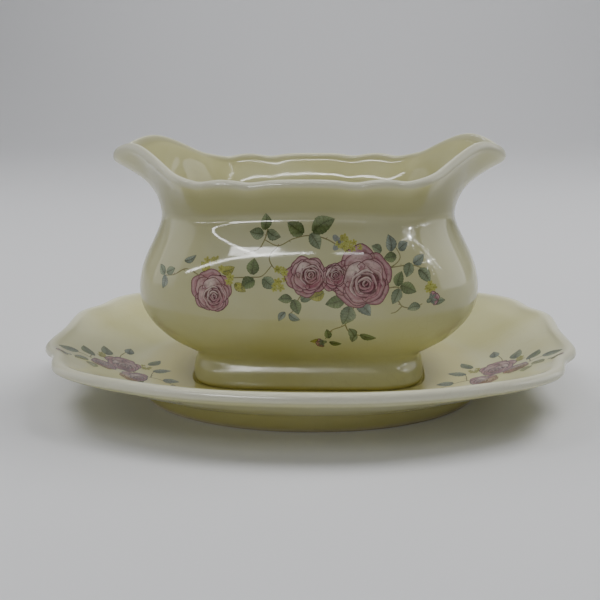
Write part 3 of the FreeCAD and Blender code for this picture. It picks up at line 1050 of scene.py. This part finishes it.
def stem(sheet, points, thick, level, thorny=False):
    """A thin curving stem, brown on one side and green on the other."""
    bones = [Vector(point) for point in points]
    run = sum((b - a).length for a, b in zip(bones, bones[1:]))
    count = max(8, int(run / 0.7))
    curve = through(bones, count)
    rows = []
    for k, point in enumerate(curve):
        ahead = curve[min(k + 1, count)] - curve[max(k - 1, 0)]
        side = Vector((-ahead.y, ahead.x)).normalized() * 0.5 * thick * (1.0 - 0.35 * k / count)
        wander = 0.5 + 0.5 * math.sin(0.9 * k)
        rows.append([
            (point + side, blend(STEM_GREEN, LEAF_TONES["dusky"][1], 0.4 * wander), NO_GRAIN),
            (point, STEM_GREEN, NO_GRAIN),
            (point - side, STEM_BROWN, NO_GRAIN),
        ])
    sheet.patch(rows, level)
    if thorny:
        for k in range(4, count - 2, 7):
            ahead = (curve[k + 1] - curve[k]).normalized()
            side = Vector((-ahead.y, ahead.x)) * (1 if k % 2 else -1)
            thorn = [curve[k], curve[k] + 0.5 * side - 0.1 * ahead, curve[k] + 0.85 * side - 0.3 * ahead]
            sheet.stroke(thorn, [0.4, 0.22, 0.05], STEM_BROWN, level)


def bud(sheet, x, y, heading, size, level, seed):
    """A rosebud half open in its green cup."""
    draw = random.Random(seed)
    pen = Pen(sheet, x, y, heading, size)
    for turn, reach, tier in ((34.0, 0.95, 0), (-34.0, 0.92, 0), (0.0, 1.1, 1)):
        petal(pen, turn, 0.06, reach, 30.0, level + tier, 0.25, draw, (-0.15, 0.0))
    for turn, reach in ((62.0, 0.9), (-62.0, 0.85), (22.0, 1.0), (-24.0, 0.95)):
        tip = Pen(sheet, x, y, heading + turn)
        middle = tip.at(0.28 * size * reach, 0.0)
        leaf(
            sheet, middle.x, middle.y, heading + turn, size * reach, 0.34 * size,
            "blue", level + 2, seed + int(turn),
        )
    disc(pen, -0.15, 0.0, 0.28, LEAF_TONES["dusky"][1], LEAF_TONES["dusky"][0], level + 4, 0.8)


def floret(sheet, x, y, size, inner, outer, petals, level, seed):
    """A small open flower of round petals."""
    draw = random.Random(seed)
    first = draw.uniform(0.0, 360.0)
    for k in range(petals):
        turn = math.radians(first + 360.0 * k / petals + draw.uniform(-9.0, 9.0))
        reach = 0.55 * size * draw.uniform(0.85, 1.1)
        place = (x + reach * math.cos(turn), y + reach * math.sin(turn))
        pen = Pen(sheet, *place, math.degrees(turn), size)
        disc(pen, 0.0, 0.0, 0.52, blend(outer, inner, 0.3), outer, level, 0.66)
        line = [pen.at(-0.5 + 0.75 * m / 3, 0.0) for m in range(4)]
        sheet.stroke(line, [0.16, 0.14, 0.1, 0.05], inner, level + 1)
    disc(Pen(sheet, x, y, 0.0, size), 0.0, 0.0, 0.2, inner, inner, level + 1)


def blossoms(sheet, x, y, spread, count, level, seed):
    """A tuft of tiny yellow flowers."""
    draw = random.Random(seed)
    for k in range(count):
        turn, reach = draw.uniform(0.0, 2.0 * math.pi), spread * math.sqrt(draw.uniform(0.0, 1.0))
        place = (x + reach * math.cos(turn), y + 0.8 * reach * math.sin(turn))
        yellow = blend(BLOSSOM_YELLOW, LEAF_TONES["young"][1], draw.random())
        size = draw.uniform(1.1, 1.7)
        floret(sheet, *place, size, BLOSSOM_SHADE, yellow, 5, level + 2 * (k % 3), seed + k)


# ------------------------------------------------------------------------------- sprays

# The boat's spray: (middle x, y, heading, length, width, tone) of each leaf, in millimetres from
# the middle of the side and above the boat's foot.
BOAT_LEAVES = (
    (-62.6, 54.8, 140.0, 5.4, 3.4, "dusky"), (-57.2, 55.0, 25.0, 5.2, 3.2, "dusky"),
    (-60.4, 49.8, 262.0, 5.8, 3.4, "blue"), (-47.5, 60.5, 25.0, 6.2, 2.4, "blue"),
    (-30.2, 57.2, 20.0, 6.0, 3.6, "young"), (-40.5, 57.8, 130.0, 5.6, 3.6, "young"),
    (-25.2, 50.2, -35.0, 5.6, 3.4, "young"),
    (-19.2, 71.4, 172.0, 6.0, 4.2, "dusky"), (-15.4, 76.0, 84.0, 6.6, 4.2, "green"),
    (-11.8, 70.8, -22.0, 6.0, 3.8, "dusky"),
    (-3.4, 73.4, 148.0, 7.8, 5.4, "green"), (8.2, 74.8, 28.0, 10.4, 6.4, "green"),
    (5.0, 68.4, -58.0, 7.0, 4.6, "dusky"),
    (-20.0, 59.0, 82.0, 6.4, 4.8, "green"), (-22.4, 52.0, 216.0, 6.4, 4.8, "green"),
    (-13.4, 52.2, -38.0, 6.4, 4.8, "dusky"),
    (35.6, 67.6, 96.0, 6.4, 4.4, "blue"), (35.0, 62.0, 186.0, 5.4, 3.8, "green"),
    (41.2, 66.2, 30.0, 5.0, 3.6, "blue"), (29.6, 65.6, 150.0, 4.6, 3.2, "dusky"),
    (42.6, 56.6, 250.0, 5.8, 4.4, "dusky"), (47.8, 60.6, 30.0, 6.2, 3.8, "blue"),
    (50.0, 54.0, -50.0, 7.4, 4.6, "dusky"),
    (38.6, 53.8, 70.0, 6.2, 4.0, "green"), (42.6, 49.4, -25.0, 7.4, 4.6, "green"),
    (37.2, 46.4, 245.0, 6.8, 4.2, "dusky"),
    (44.6, 41.6, 190.0, 5.6, 3.4, "dusky"), (56.4, 43.0, 8.0, 5.6, 2.8, "dusky"),
    (12.6, 44.8, 196.0, 8.2, 5.0, "green"), (17.4, 38.8, 250.0, 8.2, 6.0, "dusky"),
    (24.6, 41.6, -42.0, 7.6, 4.8, "blue"), (5.2, 47.4, 200.0, 6.6, 4.2, "young"),
    (-7.4, 46.0, 182.0, 5.6, 3.6, "green"), (-2.8, 42.6, -72.0, 6.6, 4.2, "green"),
    (1.6, 46.6, 18.0, 5.4, 3.6, "dusky"),
    (-8.8, 38.6, 235.0, 4.8, 2.6, "blue"), (-3.6, 38.2, -30.0, 5.2, 2.8, "blue"),
    (19.6, 31.6, 120.0, 4.8, 3.4, "dusky"), (20.4, 28.6, 250.0, 4.2, 3.0, "dusky"),
    (26.4, 29.2, -16.0, 7.2, 2.8, "green"), (9.8, 31.0, 100.0, 4.6, 2.8, "green"),
    (5.0, 27.2, 186.0, 5.2, 2.2, "young"), (13.0, 26.0, -12.0, 5.2, 2.2, "green"),
)
BOAT_STEMS = (
    ((20.0, 63.0), (15.0, 66.2), (9.0, 69.4), (2.4, 70.6), (-4.0, 69.4), (-10.0, 66.8), (-15.6, 69.0)),
    ((-10.0, 66.8), (-13.4, 63.0), (-12.2, 59.0), (-8.0, 55.6)),
    ((-14.4, 73.0), (-15.6, 69.0), (-18.2, 65.4), (-24.0, 63.6)),
    ((-36.0, 53.0), (-28.0, 54.2), (-21.0, 54.6), (-16.4, 55.2), (-12.6, 59.2)),
    ((-42.0, 54.0), (-49.0, 56.4), (-55.0, 53.6), (-60.0, 52.6)),
    ((31.0, 57.6), (36.0, 58.6), (39.4, 61.8), (37.6, 66.0)),
    ((31.0, 57.6), (38.0, 58.4), (44.0, 58.6), (49.0, 57.0)),
    ((33.0, 50.0), (37.0, 50.4), (39.6, 49.6)),
    ((37.6, 46.0), (39.8, 42.4), (44.4, 41.4), (48.4, 42.8)),
    ((39.8, 42.4), (37.4, 40.2), (35.2, 39.6)),
    ((21.0, 46.0), (19.6, 41.0), (16.8, 35.2), (11.4, 32.6), (8.8, 28.4)),
    ((16.8, 35.2), (18.6, 31.8), (23.4, 29.8)),
    ((2.0, 50.0), (-1.6, 46.4), (-3.6, 41.6), (-5.8, 39.6)),
)
BOAT_ROSES = (
    (-37.4, 48.2, 8.8, -60.0, 11),
    (1.2, 55.0, 8.2, 20.0, 23),
    (23.2, 54.4, 12.2, -55.0, 37),
    (12.2, 54.6, 5.6, 60.0, 43),
)
BOAT_TUFTS = (
    (-37.0, 58.0, 4.4, 8, 51), (-28.4, 51.6, 3.6, 7, 61), (-8.6, 56.2, 3.0, 5, 71),
    (-9.4, 51.4, 2.8, 5, 81), (18.8, 67.2, 4.6, 11, 91), (52.6, 48.6, 2.6, 5, 101),
)
BOAT_BUDS = (
    (52.0, 44.0, 20.0, 4.4, 131),
    (8.0, 26.6, -160.0, 3.4, 141),
)

# A spray for one end of the plate, in millimetres from the plate's middle.
PLATE_LEAVES = (
    (-106.0, -22.0, 205.0, 8.6, 5.2, "dusky"), (-99.0, -27.5, 250.0, 8.0, 5.0, "green"),
    (-100.0, -14.0, 140.0, 8.0, 5.2, "green"), (-94.5, -4.0, 110.0, 8.4, 5.0, "dusky"),
    (-93.0, -30.0, 285.0, 7.6, 4.6, "dusky"), (-72.0, -2.5, 60.0, 8.2, 4.8, "green"),
    (-66.5, -12.5, 10.0, 8.4, 5.0, "dusky"), (-74.0, -29.0, -60.0, 8.4, 5.2, "green"),
    (-60.0, -24.5, -20.0, 8.2, 4.8, "dusky"), (-57.5, -33.0, -55.0, 6.6, 4.0, "blue"),
    (-86.0, 6.0, 95.0, 7.0, 4.2, "blue"),
)
PLATE_STEMS = (
    ((-84.0, -14.0), (-93.0, -20.0), (-101.0, -20.5), (-107.0, -24.0)),
    ((-84.0, -14.0), (-74.0, -20.0), (-66.0, -23.0), (-57.0, -30.0)),
    ((-84.0, -12.0), (-88.0, -4.0), (-87.0, 5.0)),
    ((-97.0, -20.6), (-98.0, -15.0), (-101.0, -12.0)),
    ((-70.0, -21.6), (-70.0, -14.0), (-64.0, -11.4)),
)
PLATE_ROSES = (
    (-91.0, -21.0, 5.0, 200.0, 205),
    (-84.5, -11.5, 8.0, -70.0, 201),
    (-77.0, -24.0, 6.6, -20.0, 211),
)
PLATE_TUFTS = ((-94.5, -11.5, 3.0, 6, 221), (-75.5, -9.0, 2.8, 5, 231))
PLATE_BUDS = ((-104.0, -30.0, 215.0, 4.8, 241),)
BLOSSOM_LEVEL = 3.5


def draw_roses(surface, roses, name, body, material):
    sheet = Print(surface)
    for x, y, radius, facing, seed in roses:
        rose(sheet, x, y, radius, facing, 6.0, seed)
    sheet.finish(name, body, material)


def draw_foliage(surface, stems, leaves, name, body, material):
    sheet = Print(surface)
    for k, points in enumerate(stems):
        stem(sheet, points, 0.55, 0.0, thorny=k % 2 == 0)
    for k, (x, y, heading, length, width, tone) in enumerate(leaves):
        leaf(sheet, x, y, heading, length, width, tone, 1.0 + k % 2, 300 + k)
    sheet.finish(name, body, material)


def draw_tufts(sheet, tufts):
    for x, y, spread, count, seed in tufts:
        blossoms(sheet, x, y, spread, count, BLOSSOM_LEVEL, seed)


def draw_buds(sheet, buds):
    for x, y, heading, size, seed in buds:
        bud(sheet, x, y, heading, size, BLOSSOM_LEVEL, seed)


def draw_boat_side(skin, spin, side):
    surface = BoatSide(skin, spin)
    draw_foliage(surface, BOAT_STEMS, BOAT_LEAVES, "boat_foliage_" + side, "sauce_boat", print_ink)
    sheet = Print(surface)
    draw_tufts(sheet, BOAT_TUFTS)
    floret(sheet, 14.6, 68.0, 3.4, LILAC_SHADE, LILAC, 4, 3.0, 5)
    draw_buds(sheet, BOAT_BUDS)
    sheet.finish("boat_blossoms_" + side, "sauce_boat", print_ink)
    draw_roses(surface, BOAT_ROSES[::-1], "boat_roses_" + side, "sauce_boat", print_ink)


def draw_plate_end(skin, hand, side):
    surface = PlateTop(skin, hand)
    draw_foliage(surface, PLATE_STEMS, PLATE_LEAVES, "plate_foliage_" + side, "underplate", print_ink)
    draw_roses(surface, PLATE_ROSES, "plate_roses_" + side, "underplate", print_ink)
    sheet = Print(surface)
    draw_tufts(sheet, PLATE_TUFTS)
    draw_buds(sheet, PLATE_BUDS)
    sheet.finish("plate_blossoms_" + side, "underplate", print_ink)


# What the hatching's lines and the patchy wash multiply the ink by.
HATCH_TINT = rgba(0.42, 0.30, 0.28)
WASH_TINT = rgba(0.55, 0.50, 0.48)


def print_material():
    """Ceramic ink under the glaze: each patch's own colour, stippled and hatched, worn a little thin."""
    nodes = Nodes("printed_ink")
    place = nodes.add("ShaderNodeTexCoord").outputs["Object"]
    ink = nodes.attribute("ink").outputs["Color"]
    grain = nodes.add("ShaderNodeSeparateXYZ")
    nodes.put(grain.inputs[0], nodes.attribute("grain").outputs["Vector"])
    ripple = nodes.math("MULTIPLY", nodes.noise(place, 350.0, 1.0), 5.0)
    phase = nodes.math("ADD", nodes.math("MULTIPLY", grain.outputs[0], 8.5), ripple)
    lines = nodes.scale(nodes.math("SINE", phase), 0.1, 0.95)
    hatch = nodes.math("MULTIPLY", nodes.math("MULTIPLY", lines, grain.outputs[2]), 0.30)
    colour = nodes.mix(hatch, ink, nodes.mix(1.0, ink, HATCH_TINT, "MULTIPLY"))
    stipple = nodes.scale(nodes.noise(place, 2600.0, 1.0), 0.40, 0.68)
    colour = nodes.mix(nodes.math("MULTIPLY", stipple, 0.10), colour, PALE_CREAM)
    wash = nodes.scale(nodes.noise(place, 620.0, 2.0), 0.45, 0.7)
    washed = nodes.mix(1.0, colour, WASH_TINT, "MULTIPLY")
    colour = nodes.mix(nodes.math("MULTIPLY", wash, 0.55), colour, washed)
    cloud = nodes.scale(nodes.noise(place, 240.0, 2.0), 0.35, 0.72)
    colour = nodes.mix(nodes.math("MULTIPLY", cloud, 0.07), colour, CREAM)
    nodes.put(nodes.shader.inputs["Base Color"], colour)
    nodes.put(nodes.shader.inputs["Roughness"], glaze_sheen(nodes, place))
    nodes.shader.inputs["IOR"].default_value = GLAZE_IOR
    nodes.put(nodes.shader.inputs["Normal"], glaze_wave(nodes, place))
    return nodes.material


print_ink = print_material()
boat_skin = Skin(boat_shell)
plate_skin = Skin(plate_shell)
draw_boat_side(boat_skin, 1.0, "front")
draw_boat_side(boat_skin, -1.0, "back")
draw_plate_end(plate_skin, 1.0, "left")
draw_plate_end(plate_skin, -1.0, "right")


# ------------------------------------------------------------------------------- stage and light

PAPER = rgba(0.765, 0.77, 0.79)
PAPER_ROUGHNESS = 0.85


def paper_material(name):
    """Pale paper, a little cloudy."""
    nodes = Nodes(name)
    place = nodes.add("ShaderNodeTexCoord").outputs["Object"]
    cloud = nodes.noise(place, 3.0, 2.0)
    shaded = rgba(*(0.97 * channel for channel in PAPER[:3]))
    nodes.put(nodes.shader.inputs["Base Color"], nodes.mix(cloud, PAPER, shaded))
    nodes.shader.inputs["Roughness"].default_value = PAPER_ROUGHNESS
    return nodes


def make_sweep():
    """A pale floor that curves up into a backdrop behind the object."""
    front, back, bend, top, half = -3.0, 1.7, 0.7, 3.0, 3.5
    profile = [(front, 0.0), (0.0, 0.0)]
    for k in range(17):
        turn = math.radians(90.0 * k / 16)
        profile.append((back - bend + bend * math.sin(turn), bend - bend * math.cos(turn)))
    profile.append((back, top))
    vertices = []
    for y, z in profile:
        vertices += [(-half, y, z), (half, y, z)]
    faces = [(2 * k, 2 * k + 1, 2 * k + 3, 2 * k + 2) for k in range(len(profile) - 1)]
    mesh = bpy.data.meshes.new("sweep")
    mesh.from_pydata(vertices, [], faces)
    mesh.shade_smooth()
    mesh.materials.append(paper_material("pale_paper").material)
    sweep = new_object("sweep", mesh)


def make_surround():
    """The same pale paper spread and rising all round, with a growing glow of its own, to be seen and
    mirrored from the other sides: it casts no shadow and lights nothing."""
    inner, foot, bend, top, full_glow = 1.25, 2.3, 0.7, 3.0, 0.34
    profile = []
    for k in range(9):
        share = k / 8
        profile.append((between(inner, foot, share), 0.0005, full_glow * eased(share)))
    for k in range(1, 13):
        turn = math.radians(90.0 * k / 12)
        profile.append((foot + bend * math.sin(turn), bend - bend * math.cos(turn), full_glow))
    profile.append((foot + bend, top, full_glow))
    vertices = []
    glow = []
    for reach, height, strength in profile:
        for k in range(STEPS_ROUND):
            turn = 2.0 * math.pi * k / STEPS_ROUND
            vertices.append((reach * math.cos(turn), reach * math.sin(turn), height))
            glow.append(strength)
    faces = []
    for r in range(len(profile) - 1):
        faces += ring_quads(r * STEPS_ROUND, (r + 1) * STEPS_ROUND)
    mesh = bpy.data.meshes.new("surround")
    mesh.from_pydata(vertices, [], faces)
    mesh.attributes.new("glow", "FLOAT", "POINT").data.foreach_set("value", glow)
    mesh.shade_smooth()
    nodes = paper_material("glowing_paper")
    nodes.shader.inputs["Emission Color"].default_value = rgba(0.97, 0.975, 1.0)
    nodes.put(nodes.shader.inputs["Emission Strength"], nodes.attribute("glow").outputs["Fac"])
    mesh.materials.append(nodes.material)
    surround = new_object("surround", mesh)
    surround.visible_diffuse = False
    surround.visible_transmission = False
    surround.visible_shadow = False


def add_light(name, place, aim, width, height, power):
    """A rectangular softbox facing a point."""
    lamp = bpy.data.lights.new(name, "AREA")
    lamp.shape = "RECTANGLE"
    lamp.size = width
    lamp.size_y = height
    lamp.energy = power
    holder = new_object(name, lamp)
    holder.location = place
    holder.rotation_euler = (Vector(aim) - Vector(place)).to_track_quat("-Z", "Y").to_euler()
    return holder


def make_world(colour, strength):
    world = bpy.data.worlds.new("studio")
    world.use_nodes = True
    background = world.node_tree.nodes["Background"]
    background.inputs["Color"].default_value = colour
    background.inputs["Strength"].default_value = strength
    bpy.context.scene.world = world


def make_camera():
    """Just left of the front and a little above, close to the object."""
    target = Vector((-0.00405, 0.0, 0.03977))
    azimuth, elevation, roll = math.radians(3.31), math.radians(15.9), math.radians(-0.59)
    distance = 0.40004
    back = Vector((
        math.sin(azimuth) * math.cos(elevation),
        -math.cos(azimuth) * math.cos(elevation),
        math.sin(elevation),
    ))
    right = (-back).cross(Vector((0.0, 0.0, 1.0))).normalized()
    up = right.cross(-back)
    right, up = (
        right * math.cos(roll) + up * math.sin(roll),
        up * math.cos(roll) - right * math.sin(roll),
    )
    turn = Matrix((right, up, back)).transposed().to_4x4()
    lens = bpy.data.cameras.new("camera")
    lens.sensor_width = 36.0
    lens.lens = 52.59
    lens.clip_start = 0.01
    lens.clip_end = 20.0
    camera = new_object("camera", lens)
    camera.matrix_world = Matrix.Translation(target + back * distance) @ turn
    bpy.context.scene.camera = camera


OBJECT_MIDDLE = (0.0, 0.0, 0.05)
BELLY = Vector((0.0, -0.03, 0.06))
BAR_DISTANCE = 1.0

# Each softbox: its name, where it is, where it faces, its width, its height and its power.
SOFTBOXES = (
    ("right_softbox", (0.6, 0.3, 1.1), OBJECT_MIDDLE, 0.6, 0.6, 9.8),
    ("left_softbox", (-0.6, 0.3, 1.1), OBJECT_MIDDLE, 0.6, 0.6, 6.0),
    ("top_softbox", (0.1, 0.1, 1.3), OBJECT_MIDDLE, 0.6, 0.6, 1.2),
    ("left_window", (-1.1, -0.8, 0.45), OBJECT_MIDDLE, 0.6, 0.4, 1.4),
    ("backdrop_wash", (0.1, 1.15, 0.9), (0.1, 1.7, 0.6), 2.0, 0.3, 3.6),
    ("front_fill", (-0.2, -0.7, 1.3), OBJECT_MIDDLE, 0.7, 0.7, 3.0),
)

# Each bar: its name, its two ends as (azimuth, elevation) seen from the belly, its thickness and its
# radiance.
BARS = (
    ("window_low", (-58.0, 9.0), (-2.0, 25.0), 0.026, 22.0),
    ("window_high", (-16.0, 24.0), (-50.0, 38.0), 0.022, 22.0),
    ("window_pane", (-30.0, 26.0), (-8.0, 26.0), 0.13, 15.0),
    ("window_far", (4.0, 25.0), (16.0, 25.0), 0.03, 9.0),
    ("ceiling_tube", (-45.0, 59.0), (14.0, 60.5), 0.03, 26.0),
    ("ceiling_tube_left", (-85.0, 50.0), (-45.0, 59.0), 0.03, 26.0),
    ("back_tube", (-150.0, 70.0), (150.0, 70.0), 0.05, 9.0),
    ("left_wall", (-104.0, 14.0), (-66.0, 14.0), 0.7, 1.0),
    ("right_wall", (66.0, 12.0), (112.0, 12.0), 0.7, 1.8),
    ("right_gleam", (53.0, 33.0), (75.0, 12.0), 0.010, 12.0),
)

# Small bright lamps, each with thin rays through it, all as (azimuth, elevation).
STARS = ((53.0, 33.0), (63.5, 18.0), (47.0, 65.0))
STAR_RAYS = ((9.0, 0.0), (0.0, 9.0), (6.0, 6.0), (-6.0, 6.0))
STAR_HALF_WIDTH = 0.35


def sight_line(azimuth, elevation):
    """The place seen from the boat's belly in a direction: azimuth 0 is the front, positive to +X."""
    a, e = math.radians(azimuth), math.radians(elevation)
    direction = Vector((math.sin(a) * math.cos(e), -math.cos(a) * math.cos(e), math.sin(e)))
    return BELLY + BAR_DISTANCE * direction


def add_bar(name, start, end, thickness, radiance):
    """A thin bright bar that the glaze mirrors, between two (azimuth, elevation) directions."""
    a = sight_line(*start)
    b = sight_line(*end)
    length = (b - a).length
    power = math.pi * radiance * length * thickness
    middle = 0.5 * (a + b)
    lamp = add_light(name, middle, BELLY, length, thickness, power)
    along = (b - a).normalized()
    facing = (middle - BELLY).normalized()
    facing = (facing - along * facing.dot(along)).normalized()
    across = facing.cross(along)
    lamp.rotation_euler = Matrix((along, across, facing)).transposed().to_euler()
    lamp.visible_diffuse = False


def add_star(azimuth, elevation):
    """A small bright lamp and its rays."""
    start = (azimuth - STAR_HALF_WIDTH, elevation)
    add_bar("lamp", start, (azimuth + STAR_HALF_WIDTH, elevation), 0.013, 600.0)
    for across, up in STAR_RAYS:
        start = (azimuth - across, elevation - up)
        add_bar("lamp_ray", start, (azimuth + across, elevation + up), 0.0035, 26.0)


make_sweep()
make_surround()
make_world(rgba(0.80, 0.84, 0.92), 0.03)
for softbox in SOFTBOXES:
    add_light(*softbox).visible_glossy = False
for bar in BARS:
    add_bar(*bar)
for star in STARS:
    add_star(*star)
make_camera()
